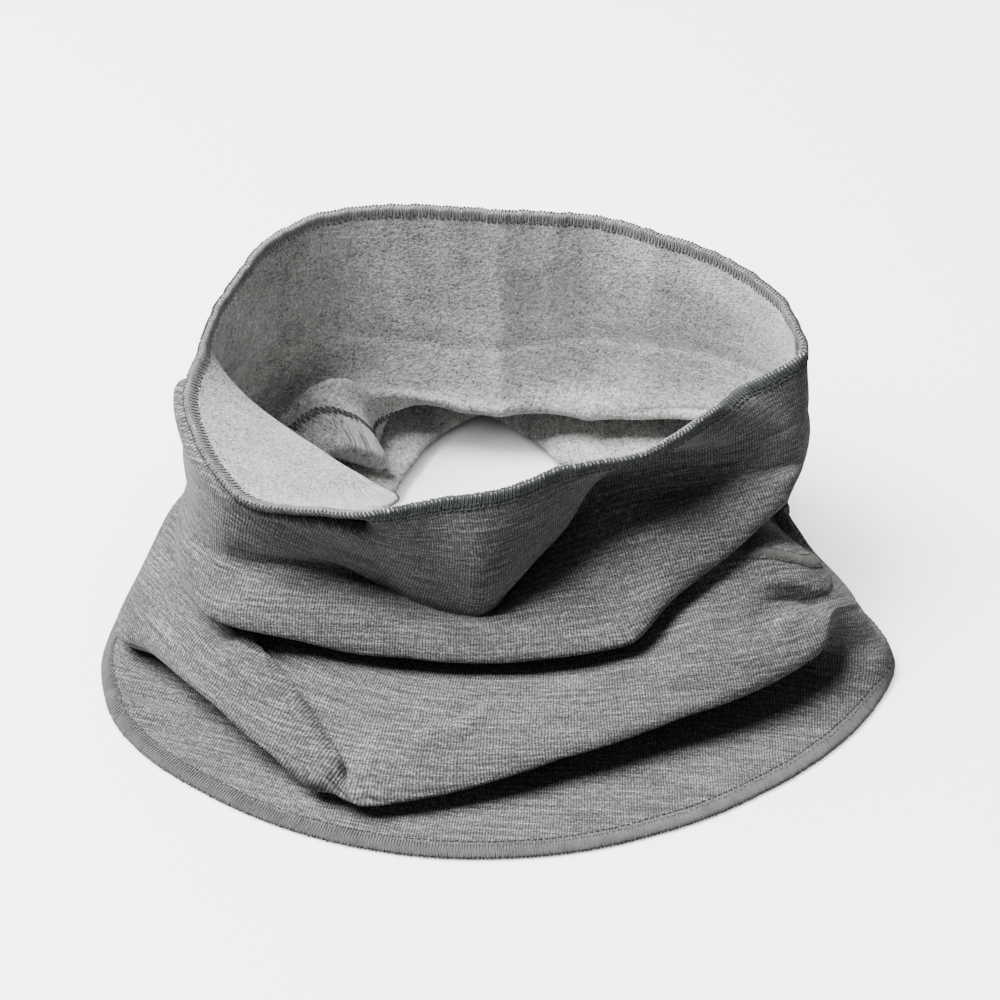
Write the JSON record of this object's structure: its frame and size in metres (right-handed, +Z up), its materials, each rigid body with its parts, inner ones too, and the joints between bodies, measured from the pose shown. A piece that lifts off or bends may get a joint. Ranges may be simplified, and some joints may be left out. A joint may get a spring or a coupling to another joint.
{
  "type": "neck gaiter",
  "caption": "Soft flared cloth tube, fleece inside and smooth knit outside, standing slumped in folds; worn round the neck against cold and wind",
  "frame": {"origin": "under the middle of the whole object's box, on the surface that the hem rests on", "axes": "+Z up out of the neck opening, the front drape faces -Y, the skirt's long way lies along X"},
  "size_m": [0.2599, 0.244, 0.1022],
  "materials": {
    "jersey": "heather grey jersey with a brushed fleece back",
    "thread": "grey sewing thread"
  },
  "bodies": {
    "root": {"upper_panel": "jersey", "lower_panel": "jersey", "rim_needle_thread": "thread", "rim_upper_looper_thread": "thread", "rim_lower_looper_thread": "thread", "hem_needle_thread": "thread", "hem_upper_looper_thread": "thread", "hem_lower_looper_thread": "thread", "ring_seam_needle_thread_upper": "thread", "ring_seam_needle_thread_lower": "thread", "ring_seam_cover_thread": "thread", "ring_seam_looper_thread": "thread", "upper_side_seam_needle_thread": "thread", "upper_side_seam_looper_thread": "thread", "lower_side_seam_needle_thread": "thread", "lower_side_seam_looper_thread": "thread"}
  },
  "joints": []
}
